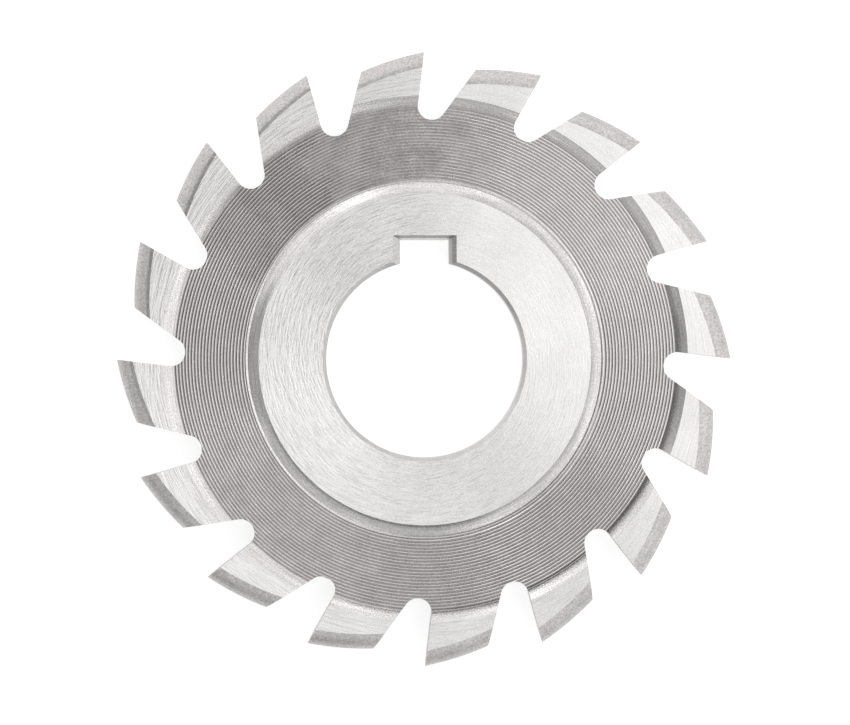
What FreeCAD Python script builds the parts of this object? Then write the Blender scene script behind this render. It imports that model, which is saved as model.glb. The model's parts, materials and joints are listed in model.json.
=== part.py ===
import FreeCAD, Part
import os
from math import atan2, cos, radians, sin, tan

import Sketcher

Vector = FreeCAD.Vector

# Driving dimensions: lengths in millimetres, angles in degrees
SIZES = {
    "cutter_diameter": 50.0,
    "convex_radius": 1.25,
    "bore_diameter": 16.0,
    "bore_chamfer": 0.3,
    "keyway_width": 4.0,
    "keyway_height": 17.7,
    "keyway_side_chamfer": 0.6,
    "keyway_floor_chamfer": 0.35,
    "keyway_chamfer_depth": 0.5,
    "hub_diameter": 27.0,
    "rim_width": 3.6,
    "web_recess": 0.4,
    "step_angle": 27.0,
    "step_fillet": 0.4,
    "tooth_count": 16,
    "rake_angle": 7.0,
    "relief_angle": 11.3,
    "tooth_lead": 1.5,
    "tooth_overlap": 1.0,
    "gullet_angle": 29.3,
    "gullet_radius": 1.15,
    "gullet_depth": 5.55,
    "cut_clearance": 1.0,
}

# The radius out to which every tooth is still at full width, behind its relief
DISC_RADIUS = (
    "sizes.cutter_diameter / 2 * (1 - tan(sizes.relief_angle) * 2 * pi / sizes.tooth_count)"
    " - sizes.convex_radius"
)


def make_sheet(doc):
    """The table of driving dimensions that every sketch and feature follows."""
    sheet = doc.addObject("Spreadsheet::Sheet", "sizes")
    for row, (alias, value) in enumerate(SIZES.items(), start=1):
        sheet.set(f"A{row}", alias.replace("_", " "))
        sheet.set(f"B{row}", str(value))
        sheet.setAlias(f"B{row}", alias)
    doc.recompute()


def origin_feature(body, role):
    """The plane or axis of the body's own origin that has this role."""
    for feature in body.Origin.OriginFeatures:
        if feature.Role == role:
            return feature
    raise ValueError(role)


def new_sketch(body, name, plane):
    """An empty sketch on one of the body's origin planes."""
    sketch = body.newObject("Sketcher::SketchObject", name)
    sketch.AttachmentSupport = [(origin_feature(body, plane), "")]
    sketch.MapMode = "FlatFace"
    return sketch


def add_line(sketch, start, end):
    return sketch.addGeometry(Part.LineSegment(Vector(*start, 0), Vector(*end, 0)))


def add_arc(sketch, centre, start, end):
    """An arc drawn counter-clockwise about its centre from one point to another."""
    rays = [Vector(*point, 0) - Vector(*centre, 0) for point in (start, end)]
    circle = Part.Circle(Vector(*centre, 0), Vector(0, 0, 1), rays[0].Length)
    return sketch.addGeometry(Part.ArcOfCircle(circle, *[atan2(ray.y, ray.x) for ray in rays]))


def add_polygon(sketch, points):
    """Lines from point to point and back to the first, joined at their ends."""
    closed = points + points[:1]
    lines = [add_line(sketch, start, end) for start, end in zip(closed, closed[1:])]
    for line, following in zip(lines, lines[1:] + lines[:1]):
        sketch.addConstraint(Sketcher.Constraint("Coincident", line, 2, following, 1))
    return lines


def constrain(sketch, kind, *where):
    sketch.addConstraint(Sketcher.Constraint(kind, *where))


def drawn_value(sketch, kind, where):
    """What the drawn geometry measures before its dimension takes over."""
    if kind == "Radius":
        return sketch.Geometry[where[0]].Radius
    if kind == "Angle":
        along = sketch.getPoint(where[0], 2) - sketch.getPoint(where[0], 1)
        return atan2(along.y, along.x)
    gap = sketch.getPoint(*where[2:]) - sketch.getPoint(*where[:2])
    return {"DistanceX": gap.x, "DistanceY": gap.y, "Distance": gap.Length}[kind]


def dimension(sketch, kind, where, expression):
    """A dimension whose value comes from the sheet."""
    value = drawn_value(sketch, kind, where)
    index = sketch.addConstraint(Sketcher.Constraint(kind, *where, value))
    sketch.setExpression(f"Constraints[{index}]", expression)


# A sketch's own origin point and its two axes, as constraints name them
ORIGIN = (-1, 1)
LEVEL_AXIS_INDEX = -1
UPRIGHT_AXIS_INDEX = -2


def disc_feature(body):
    """The plain disc inside the teeth, with its bore chamfered at both ends."""
    sketch = new_sketch(body, "disc_section", "XZ_Plane")
    inner = SIZES["bore_diameter"] / 2
    chamfer = SIZES["bore_chamfer"]
    half = SIZES["convex_radius"]
    outer = SIZES["cutter_diameter"] / 2 - SIZES["rim_width"]
    bottom, rim, top, _, wall, _ = add_polygon(sketch, [
        (inner + chamfer, -half), (outer, -half), (outer, half),
        (inner + chamfer, half), (inner, half - chamfer), (inner, chamfer - half),
    ])
    constrain(sketch, "Horizontal", bottom)
    constrain(sketch, "Symmetric", rim, 1, rim, 2, LEVEL_AXIS_INDEX)
    constrain(sketch, "Symmetric", bottom, 1, top, 2, LEVEL_AXIS_INDEX)
    constrain(sketch, "Symmetric", wall, 1, wall, 2, LEVEL_AXIS_INDEX)
    dimension(sketch, "DistanceY", (rim, 1, rim, 2), "2 * sizes.convex_radius")
    dimension(sketch, "DistanceX", (*ORIGIN, rim, 1), DISC_RADIUS)
    dimension(sketch, "DistanceX", (*ORIGIN, wall, 1), "sizes.bore_diameter / 2")
    dimension(sketch, "DistanceX", (wall, 1, top, 2), "sizes.bore_chamfer")
    dimension(sketch, "DistanceY", (wall, 1, top, 2), "sizes.bore_chamfer")

    disc = body.newObject("PartDesign::Revolution", "disc")
    disc.Profile = sketch
    disc.ReferenceAxis = (sketch, ["V_Axis"])
    disc.Angle = 360
    return disc


def tooth_feature(body):
    """One tooth turned about its own relief axis, which stands beside the bore's.

    The relief circle is as large as the tip circle and passes through the tip, so the
    back of the tooth falls away from the tip at the relief angle. The section starts a
    little before the tip, where the gullet then cuts the tooth's face.
    """
    sketch = new_sketch(body, "tooth_section", "XZ_Plane")
    relief_radius = SIZES["cutter_diameter"] / 2
    half = SIZES["convex_radius"]
    centre = relief_radius - half
    inner = relief_radius - SIZES["gullet_depth"]
    bottom = add_line(sketch, (inner, -half), (centre, -half))
    crown = add_arc(sketch, (centre, 0), (centre, -half), (centre, half))
    top = add_line(sketch, (centre, half), (inner, half))
    back = add_line(sketch, (inner, half), (inner, -half))
    constrain(sketch, "Tangent", bottom, 2, crown, 1)
    constrain(sketch, "Tangent", crown, 2, top, 1)
    constrain(sketch, "Coincident", top, 2, back, 1)
    constrain(sketch, "Coincident", back, 2, bottom, 1)
    constrain(sketch, "Horizontal", bottom)
    constrain(sketch, "Symmetric", back, 1, back, 2, LEVEL_AXIS_INDEX)
    constrain(sketch, "PointOnObject", crown, 3, LEVEL_AXIS_INDEX)
    dimension(sketch, "Radius", (crown,), "sizes.convex_radius")
    dimension(sketch, "DistanceX", (*ORIGIN, crown, 3),
              "sizes.cutter_diameter / 2 - sizes.convex_radius")
    dimension(sketch, "DistanceX", (*ORIGIN, back, 1), DISC_RADIUS + " - sizes.tooth_overlap")
    sketch.AttachmentOffset = FreeCAD.Placement(Vector(), FreeCAD.Rotation(Vector(0, 1, 0), 1))
    sketch.setExpression("AttachmentOffset.Base.x",
                         "sizes.cutter_diameter / 2 * (1 - cos(sizes.relief_angle))")
    sketch.setExpression("AttachmentOffset.Base.z",
                         "sizes.cutter_diameter / 2 * sin(sizes.relief_angle)")
    sketch.setExpression("AttachmentOffset.Rotation.Angle", "sizes.relief_angle - sizes.tooth_lead")

    tooth = body.newObject("PartDesign::Revolution", "tooth")
    tooth.Profile = sketch
    tooth.ReferenceAxis = (sketch, ["V_Axis"])
    tooth.setExpression("Angle", "360 / sizes.tooth_count - sizes.tooth_lead")
    return tooth


def gullet_feature(body):
    """The gap before one tooth: its raked face, a round root and the last tooth's heel."""
    sketch = new_sketch(body, "gullet_outline", "XY_Plane")
    tip = SIZES["cutter_diameter"] / 2
    radius = SIZES["gullet_radius"]
    outer = tip + SIZES["cut_clearance"]
    rake = SIZES["rake_angle"]
    heel = rake + SIZES["gullet_angle"]
    root = (tip - SIZES["gullet_depth"] + radius, -radius / 2)
    face_end = (root[0] + radius * sin(radians(rake)), root[1] + radius * cos(radians(rake)))
    heel_end = (root[0] - radius * sin(radians(heel)), root[1] - radius * cos(radians(heel)))
    heel_start = (outer, heel_end[1] - (outer - heel_end[0]) * tan(radians(heel)))
    face_start = (outer, -SIZES["cut_clearance"] * tan(radians(rake)))

    face = add_line(sketch, face_start, face_end)
    bottom = add_arc(sketch, root, face_end, heel_end)
    back = add_line(sketch, heel_start, heel_end)
    mouth = add_line(sketch, heel_start, face_start)
    tip_point = sketch.addGeometry(Part.Point(Vector(tip, 0, 0)), True)
    constrain(sketch, "Tangent", face, 2, bottom, 1)
    constrain(sketch, "Tangent", bottom, 2, back, 2)
    constrain(sketch, "Coincident", back, 1, mouth, 1)
    constrain(sketch, "Coincident", mouth, 2, face, 1)
    constrain(sketch, "Vertical", mouth)
    constrain(sketch, "PointOnObject", tip_point, 1, LEVEL_AXIS_INDEX)
    constrain(sketch, "PointOnObject", tip_point, 1, face)
    dimension(sketch, "DistanceX", (*ORIGIN, tip_point, 1), "sizes.cutter_diameter / 2")
    dimension(sketch, "DistanceX", (*ORIGIN, mouth, 1),
              "sizes.cutter_diameter / 2 + sizes.cut_clearance")
    dimension(sketch, "Angle", (face,), "180 - sizes.rake_angle")
    dimension(sketch, "Angle", (back,), "180 - sizes.rake_angle - sizes.gullet_angle")
    dimension(sketch, "Radius", (bottom,), "sizes.gullet_radius")
    dimension(sketch, "Distance", (*ORIGIN, bottom, 3),
              "sizes.cutter_diameter / 2 - sizes.gullet_depth + sizes.gullet_radius")

    gullet = body.newObject("PartDesign::Pocket", "gullet")
    gullet.Profile = sketch
    gullet.SideType = "Symmetric"
    gullet.setExpression("Length", "2 * sizes.convex_radius + 2 * sizes.cut_clearance")
    return gullet


def ring_of(body, feature, name):
    """The feature repeated once for each tooth around the bore."""
    pattern = body.newObject("PartDesign::PolarPattern", name)
    pattern.Originals = [feature]
    pattern.Axis = (origin_feature(body, "Z_Axis"), [""])
    pattern.Angle = 360
    pattern.setExpression("Occurrences", "sizes.tooth_count")
    body.Tip = pattern
    return pattern


def web_feature(body):
    """The shallow turned recess between hub and rim, on the upper side."""
    sketch = new_sketch(body, "web_section", "XZ_Plane")
    hub = SIZES["hub_diameter"] / 2
    rim = SIZES["cutter_diameter"] / 2 - SIZES["rim_width"]
    side = SIZES["convex_radius"]
    floor = side - SIZES["web_recess"]
    above = side + SIZES["cut_clearance"]
    slope = SIZES["step_angle"]
    fillet = SIZES["step_fillet"]
    rise = (fillet * (1 - cos(radians(slope))), fillet * sin(radians(slope)))
    run = (SIZES["web_recess"] - rise[0]) / tan(radians(slope))
    hub_foot = hub + run + rise[1]
    rim_foot = rim - run - rise[1]

    hub_wall = add_line(sketch, (hub, above), (hub, side))
    hub_slope = add_line(sketch, (hub, side), (hub + run, floor + rise[0]))
    hub_fillet = add_arc(sketch, (hub_foot, floor + fillet), (hub + run, floor + rise[0]),
                         (hub_foot, floor))
    web = add_line(sketch, (hub_foot, floor), (rim_foot, floor))
    rim_fillet = add_arc(sketch, (rim_foot, floor + fillet), (rim_foot, floor),
                         (rim - run, floor + rise[0]))
    rim_slope = add_line(sketch, (rim - run, floor + rise[0]), (rim, side))
    rim_wall = add_line(sketch, (rim, side), (rim, above))
    lid = add_line(sketch, (rim, above), (hub, above))
    constrain(sketch, "Coincident", hub_wall, 2, hub_slope, 1)
    constrain(sketch, "Tangent", hub_slope, 2, hub_fillet, 1)
    constrain(sketch, "Tangent", hub_fillet, 2, web, 1)
    constrain(sketch, "Tangent", web, 2, rim_fillet, 1)
    constrain(sketch, "Tangent", rim_fillet, 2, rim_slope, 1)
    constrain(sketch, "Coincident", rim_slope, 2, rim_wall, 1)
    constrain(sketch, "Coincident", rim_wall, 2, lid, 1)
    constrain(sketch, "Coincident", lid, 2, hub_wall, 1)
    constrain(sketch, "Vertical", hub_wall)
    constrain(sketch, "Vertical", rim_wall)
    constrain(sketch, "Horizontal", lid)
    constrain(sketch, "Horizontal", web)
    constrain(sketch, "Equal", hub_fillet, rim_fillet)
    dimension(sketch, "Radius", (hub_fillet,), "sizes.step_fillet")
    dimension(sketch, "DistanceX", (*ORIGIN, hub_wall, 2), "sizes.hub_diameter / 2")
    dimension(sketch, "DistanceX", (*ORIGIN, rim_wall, 1),
              "sizes.cutter_diameter / 2 - sizes.rim_width")
    dimension(sketch, "DistanceY", (*ORIGIN, hub_wall, 2), "sizes.convex_radius")
    dimension(sketch, "DistanceY", (*ORIGIN, rim_wall, 1), "sizes.convex_radius")
    dimension(sketch, "DistanceY", (*ORIGIN, lid, 1), "sizes.convex_radius + sizes.cut_clearance")
    dimension(sketch, "DistanceY", (web, 1, hub_slope, 1), "sizes.web_recess")
    dimension(sketch, "Angle", (rim_slope,), "sizes.step_angle")
    dimension(sketch, "Angle", (hub_slope,), "-sizes.step_angle")

    recess = body.newObject("PartDesign::Groove", "web_recess")
    recess.Profile = sketch
    recess.ReferenceAxis = (sketch, ["V_Axis"])
    recess.Angle = 360
    return recess


def keyway_outline(body, name, level, side_chamfer, floor_chamfer):
    """The keyway's rectangle at one level, from inside the bore to the keyway's floor."""
    sketch = new_sketch(body, name, "XY_Plane")
    half = SIZES["keyway_width"] / 2
    start = SIZES["bore_diameter"] / 4
    floor = SIZES["keyway_height"] - SIZES["bore_diameter"] / 2
    near, right, far, left = add_polygon(sketch, [
        (-half, start), (half, start), (half, floor), (-half, floor),
    ])
    constrain(sketch, "Symmetric", near, 1, near, 2, UPRIGHT_AXIS_INDEX)
    constrain(sketch, "Vertical", right)
    constrain(sketch, "Vertical", left)
    constrain(sketch, "Horizontal", far)
    dimension(sketch, "DistanceX", (near, 1, near, 2), "sizes.keyway_width + 2 * " + side_chamfer)
    dimension(sketch, "DistanceY", (*ORIGIN, near, 1), "sizes.bore_diameter / 4")
    dimension(sketch, "DistanceY", (*ORIGIN, far, 1),
              "sizes.keyway_height - sizes.bore_diameter / 2 + " + floor_chamfer)
    sketch.setExpression("AttachmentOffset.Base.z", level)
    return sketch


def keyway_feature(body):
    """The keyway cut through the bore's wall."""
    keyway = body.newObject("PartDesign::Pocket", "keyway")
    keyway.Profile = keyway_outline(body, "keyway_section", "0", "0", "0")
    keyway.SideType = "Symmetric"
    keyway.setExpression("Length", "2 * sizes.convex_radius + 2 * sizes.cut_clearance")
    return keyway


def keyway_chamfer_feature(body):
    """The sloped edges of the keyway on the upper side, wider at its sides."""
    deep = keyway_outline(body, "keyway_chamfer_foot",
                          "sizes.convex_radius - sizes.keyway_chamfer_depth", "0", "0")
    wide = keyway_outline(body, "keyway_chamfer_mouth", "sizes.convex_radius",
                          "sizes.keyway_side_chamfer", "sizes.keyway_floor_chamfer")
    chamfer = body.newObject("PartDesign::SubtractiveLoft", "keyway_chamfer")
    chamfer.Profile = deep
    chamfer.Sections = [wide]
    chamfer.Ruled = True
    return chamfer


def mirror_to_underside(body, features):
    """The same recess and chamfers on the lower side."""
    underside = body.newObject("PartDesign::Mirrored", "underside")
    underside.Originals = features
    underside.MirrorPlane = (origin_feature(body, "XY_Plane"), [""])
    body.Tip = underside


def make_cutter(doc):
    """The whole cutter, one piece of hardened steel."""
    body = doc.addObject("PartDesign::Body", "convex_cutter")
    body.Label = "convex_cutter"
    disc_feature(body)
    ring_of(body, tooth_feature(body), "teeth")
    ring_of(body, gullet_feature(body), "gullets")
    recess = web_feature(body)
    keyway_feature(body)
    chamfer = keyway_chamfer_feature(body)
    mirror_to_underside(body, [recess, chamfer])
    body.setExpression("Placement.Base.z", "sizes.convex_radius")
    return body


def check_model(doc, bodies):
    """Stop before anything is written if a feature failed or a body is not one sound solid."""
    for item in doc.Objects:
        if "Invalid" in item.State or "Error" in item.State:
            raise RuntimeError(f"{item.Name} could not be made: {item.State}")
    for body in bodies:
        if body.Shape.isNull() or not body.Shape.isValid() or len(body.Shape.Solids) != 1:
            raise RuntimeError(f"{body.Label} is not one valid solid")


def main():
    doc = FreeCAD.newDocument("cutter")
    make_sheet(doc)
    bodies = [make_cutter(doc)]
    doc.recompute()
    check_model(doc, bodies)
    os.makedirs("parts", exist_ok=True)
    for body in bodies:
        body.Shape.exportStep(f"parts/{body.Label}.step")
        print(body.Label, "volume", round(body.Shape.Volume, 3), "mm3")


main()
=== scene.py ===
import json
from math import acos, atan2, ceil, cos, hypot, pi, radians, sin, sqrt, tan

import bpy
from mathutils import Matrix, Vector


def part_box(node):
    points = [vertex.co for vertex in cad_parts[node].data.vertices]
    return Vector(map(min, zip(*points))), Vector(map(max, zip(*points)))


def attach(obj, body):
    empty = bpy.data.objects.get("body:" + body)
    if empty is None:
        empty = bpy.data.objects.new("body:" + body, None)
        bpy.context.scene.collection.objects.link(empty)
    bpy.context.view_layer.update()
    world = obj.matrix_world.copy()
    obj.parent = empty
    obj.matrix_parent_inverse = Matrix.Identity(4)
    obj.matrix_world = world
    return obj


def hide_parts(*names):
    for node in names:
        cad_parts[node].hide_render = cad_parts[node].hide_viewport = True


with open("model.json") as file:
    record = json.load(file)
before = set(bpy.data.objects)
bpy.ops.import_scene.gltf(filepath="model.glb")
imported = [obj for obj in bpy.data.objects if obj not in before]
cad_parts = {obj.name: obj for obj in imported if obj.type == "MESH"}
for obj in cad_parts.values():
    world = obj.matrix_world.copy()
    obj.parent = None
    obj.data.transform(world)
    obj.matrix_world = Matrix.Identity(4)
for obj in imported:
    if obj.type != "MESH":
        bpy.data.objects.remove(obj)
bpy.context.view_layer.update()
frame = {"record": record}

bl_info = {
    "name": "Convex radius cutter",
    "version": (1, 0, 0),
    "blender": (4, 5, 0),
    "location": "3D View > Sidebar > Cutter",
    "description": "A form-relieved convex radius cutter of ground steel on a pale studio floor",
    "category": "Add Mesh",
}

CAD_NODE = "convex_cutter"
CAD_LOW, CAD_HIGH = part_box(CAD_NODE)
BORE_MOUNT = next(mount for mount in frame["record"]["mounts"] if mount["name"] == "bore")

# The finishes, in the order of the cutter's material slots
GROUND, TURNED, STEPPED, RELIEVED, MILLED, HONED, FILED = range(7)

TURN = 2 * pi

# How far the hollow of a turning mark leans to its outer edge: 1 is even
MARK_LEAN = 1.2


def length(name, description, default):
    """A length in metres, shown in the scene's own unit."""
    return bpy.props.FloatProperty(
        name=name, description=description, default=default, min=1e-6,
        subtype="DISTANCE", unit="LENGTH", precision=5)


def angle(name, description, degrees):
    return bpy.props.FloatProperty(
        name=name, description=description, default=radians(degrees),
        subtype="ANGLE", unit="ROTATION")


def colour(name, description, default):
    return bpy.props.FloatVectorProperty(
        name=name, description=description, default=default, size=3,
        min=0.0, max=1.0, subtype="COLOR")


def share(name, description, default):
    return bpy.props.FloatProperty(
        name=name, description=description, default=default, min=0.0, max=1.0, subtype="FACTOR")


class CutterSizes(bpy.types.PropertyGroup):
    """The sizes of the cutter, in metres."""
    tip_diameter: length("Tip diameter", "Circle through the cutting tips", CAD_HIGH.x - CAD_LOW.x)
    convex_radius: length("Convex radius", "Radius of the half-round tooth profile",
                          (CAD_HIGH.z - CAD_LOW.z) / 2)
    bore_radius: length("Bore radius", "Radius of the arbor bore", BORE_MOUNT["dims"]["r_mm"] / 1000)
    bore_chamfer: length("Bore chamfer", "Bevel at each end of the bore", 0.0003)
    keyway_width: length("Keyway width", "Width of the keyway in the bore", 0.004)
    keyway_floor: length("Keyway floor", "From the bore's axis to the keyway's floor", 0.0097)
    keyway_side_chamfer: length("Keyway side bevel", "How far the keyway's sides slope out", 0.0006)
    keyway_floor_chamfer: length("Keyway floor bevel", "How far its floor slopes out", 0.00035)
    keyway_chamfer_depth: length("Keyway bevel depth", "How deep the keyway's slopes go", 0.0005)
    hub_radius: length("Hub radius", "Outer edge of the ground hub face", 0.0135)
    rim_width: length("Rim width", "From the tips in to the inner edge of the rim", 0.0036)
    web_recess: length("Web recess", "How deep the web lies below the hub face", 0.0004)
    step_angle: angle("Step angle", "Slope of the steps down to the web", 27)
    step_fillet: length("Step fillet", "Fillet at the foot of each step", 0.0004)
    tooth_count: bpy.props.IntProperty(name="Teeth", description="Number of teeth", default=16, min=3)
    rake_angle: angle("Rake angle", "How far the cutting faces lean under", 7)
    relief_angle: angle("Relief angle", "How steeply the tooth backs fall away", 11.3)
    gullet_angle: angle("Gullet angle", "Angle between the two walls of a gullet", 29.3)
    gullet_radius: length("Gullet radius", "Radius of a gullet's root", 0.00115)
    gullet_depth: length("Gullet depth", "From the tip circle to a gullet's root", 0.00555)
    web_foot: length("Web foot", "Shallow ring between the hub's step and the turning marks", 0.00019)
    groove_pitch: length("Turning feed", "Feed of the turning marks on the web", 0.00026)
    groove_depth: length("Turning depth", "Depth of the turning marks on the web", 0.000036)


class SteelColours(bpy.types.PropertyGroup):
    """The colours of the cutter's finishes."""
    ground: colour("Ground steel", "Hub faces and tooth sides", (0.93, 0.915, 0.905))
    turned: colour("Turned steel", "The web's turning marks", (0.669, 0.643, 0.636))
    stepped: colour("Step steel", "The sloped steps beside the web", (0.7, 0.682, 0.672))
    relieved: colour("Relieved steel", "The matte half-round profile", (0.745, 0.724, 0.719))
    milled: colour("Milled steel", "Gullet walls", (0.7, 0.69, 0.68))
    honed: colour("Honed steel", "Bore and keyway", (0.82, 0.808, 0.797))
    filed: colour("Filed steel", "Two of the keyway's slopes", (0.53, 0.52, 0.51))


class StudioLook(bpy.types.PropertyGroup):
    """The floor and the light."""
    floor_colour: colour("Floor", "Colour of the studio floor", (1.0, 1.0, 1.0))
    surround: share("Surround", "Level of the light from all round", 0.05)
    softboxes: bpy.props.FloatProperty(name="Softboxes", description="Level of all the softboxes",
                                       default=1.0, min=0.0, max=4.0)


def between(start, end, part):
    """The value at this part of the way from start to end."""
    return start + (end - start) * part


class Shell:
    """Points and faces of the steel's surface, where points that meet are one point."""

    # Points meet where they agree to a ten-thousandth of a millimetre
    STEPS_PER_METRE = 1e7

    def __init__(self):
        self.points = []
        self.known = {}
        self.faces = []
        self.finishes = []

    def point(self, x, y, z):
        key = tuple(round(value * self.STEPS_PER_METRE) for value in (x, y, z))
        if key not in self.known:
            self.known[key] = len(self.points)
            self.points.append((x, y, z))
        return self.known[key]

    def polar(self, radius, turn, z):
        return self.point(radius * cos(turn), radius * sin(turn), z)

    def face(self, corners, finish):
        """A face between corners, of which any that fall together count once."""
        corners = list(dict.fromkeys(corners))
        if len(corners) > 2:
            self.faces.append(corners)
            self.finishes.append(finish)

    def strip(self, inner, outer, finish):
        """Faces between two rows that run counter-clockwise and have as many points each."""
        for step in range(len(inner) - 1):
            self.face([inner[step], outer[step], outer[step + 1], inner[step + 1]], finish)

    def lace(self, inner, outer, finish):
        """Triangles between two rings of (angle, point) pairs that need not have as many points."""
        near, far = 0, 0
        while near < len(inner) - 1 or far < len(outer) - 1:
            end = near == len(inner) - 1
            if far < len(outer) - 1 and (end or outer[far + 1][0] <= inner[near + 1][0]):
                self.face([inner[near][1], outer[far][1], outer[far + 1][1]], finish)
                far += 1
            else:
                self.face([inner[near][1], outer[far][1], inner[near + 1][1]], finish)
                near += 1

    def open_edges(self):
        """Edges with a face on one side only, running as that face does."""
        seen = dict.fromkeys(edge for face in self.faces for edge in zip(face, face[1:] + face[:1]))
        return [edge for edge in seen if edge[::-1] not in seen]


class Gullet:
    """The gap before the tooth whose tip is on the +X axis, in polar terms."""

    def __init__(self, sizes):
        self.tip = sizes.tip_diameter / 2
        self.radius = sizes.gullet_radius
        self.rake = sizes.rake_angle
        self.back = sizes.rake_angle + sizes.gullet_angle
        self.step = TURN / sizes.tooth_count
        self.root = self.root_centre(sizes)
        self.root_distance = self.root.length
        self.root_turn = atan2(self.root.y, self.root.x)
        self.bottom = self.root_distance - self.radius
        self.face_end = self.root + self.radius * Vector((sin(self.rake), cos(self.rake)))
        self.heel_end = self.root - self.radius * Vector((sin(self.back), cos(self.back)))

    def root_centre(self, sizes):
        """The root's centre, one root radius off the cutting face and at the root's depth."""
        distance = self.tip - sizes.gullet_depth + self.radius
        offset = Vector((-sin(self.rake), -cos(self.rake))) * self.radius
        start = Vector((self.tip, 0)) + offset
        along = Vector((-cos(self.rake), sin(self.rake)))
        return start + along * reach(start, along, distance, near=True)

    def arc_turn(self, radius):
        """Half the angle that the root's circle spans at this distance from the bore's axis."""
        ratio = (radius ** 2 + self.root_distance ** 2 - self.radius ** 2) / (
            2 * radius * self.root_distance)
        return acos(min(1.0, ratio))

    def face_turn(self, radius):
        """Angle of the cutting face's side of the gullet at a distance from the axis."""
        if radius <= self.bottom:
            return self.root_turn
        if radius < self.face_end.length:
            return self.root_turn + self.arc_turn(radius)
        along = Vector((-cos(self.rake), sin(self.rake)))
        start = Vector((self.tip, 0))
        place = start + along * reach(start, along, radius, near=True)
        return atan2(place.y, place.x)

    def heel_turn(self, radius):
        """Angle of the other side, the back of the tooth before."""
        if radius <= self.bottom:
            return self.root_turn
        if radius < self.heel_end.length:
            return self.root_turn - self.arc_turn(radius)
        along = Vector((cos(self.back), -sin(self.back)))
        place = self.heel_end + along * reach(self.heel_end, along, radius)
        return atan2(place.y, place.x)


def reach(start, along, radius, near=False, centre=Vector((0, 0))):
    """How far along a line from start the circle of this radius is met."""
    offset = start - centre
    middle = -offset.dot(along)
    half = sqrt(middle ** 2 - offset.length_squared + radius ** 2)
    return middle - half if near else middle + half


# The steps beside the web: rows on a slope, and how much it levels out towards its foot
SLOPE_ROWS = 8
SLOPE_BEND = 0.3
# The hub's slope ends this share of a turning mark's depth below the web
FOOT_SINK = 0.8
# Its foot rises from there: shares of the foot's width and of the mark's depth
FOOT_RISE = ((0.35, 0.4), (0.7, 0), (1, 0))


def section_steps(sizes):
    """Radius and height of the steps' rows: hub edge to web, then web to rim edge.

    The slopes are steep beside the ground faces and level out at their feet. The hub's
    slope ends a little below the web, and its foot rises to the web again.
    """
    side = sizes.convex_radius
    floor = side - sizes.web_recess
    fillet, slope = sizes.step_fillet, sizes.step_angle
    lift = fillet * (1 - cos(slope))
    width = (sizes.web_recess - lift) / tan(slope) + fillet * sin(slope)
    rim = sizes.tip_diameter / 2 - sizes.rim_width
    hub_foot = sizes.hub_radius + width
    outwards = [row / SLOPE_ROWS for row in range(SLOPE_ROWS + 1)]
    fall = [(out, out + SLOPE_BEND * out * (1 - out)) for out in outwards]
    hub_drop = sizes.web_recess + FOOT_SINK * sizes.groove_depth
    hub_slope = [(sizes.hub_radius + width * out, side - hub_drop * down) for out, down in fall]
    rim_slope = [(rim - width * out, side - sizes.web_recess * down)
                 for out, down in reversed(fall)]
    foot = [(hub_foot + sizes.web_foot * out, floor - sizes.groove_depth * sink)
            for out, sink in FOOT_RISE]
    return hub_slope + foot, rim_slope


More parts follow.
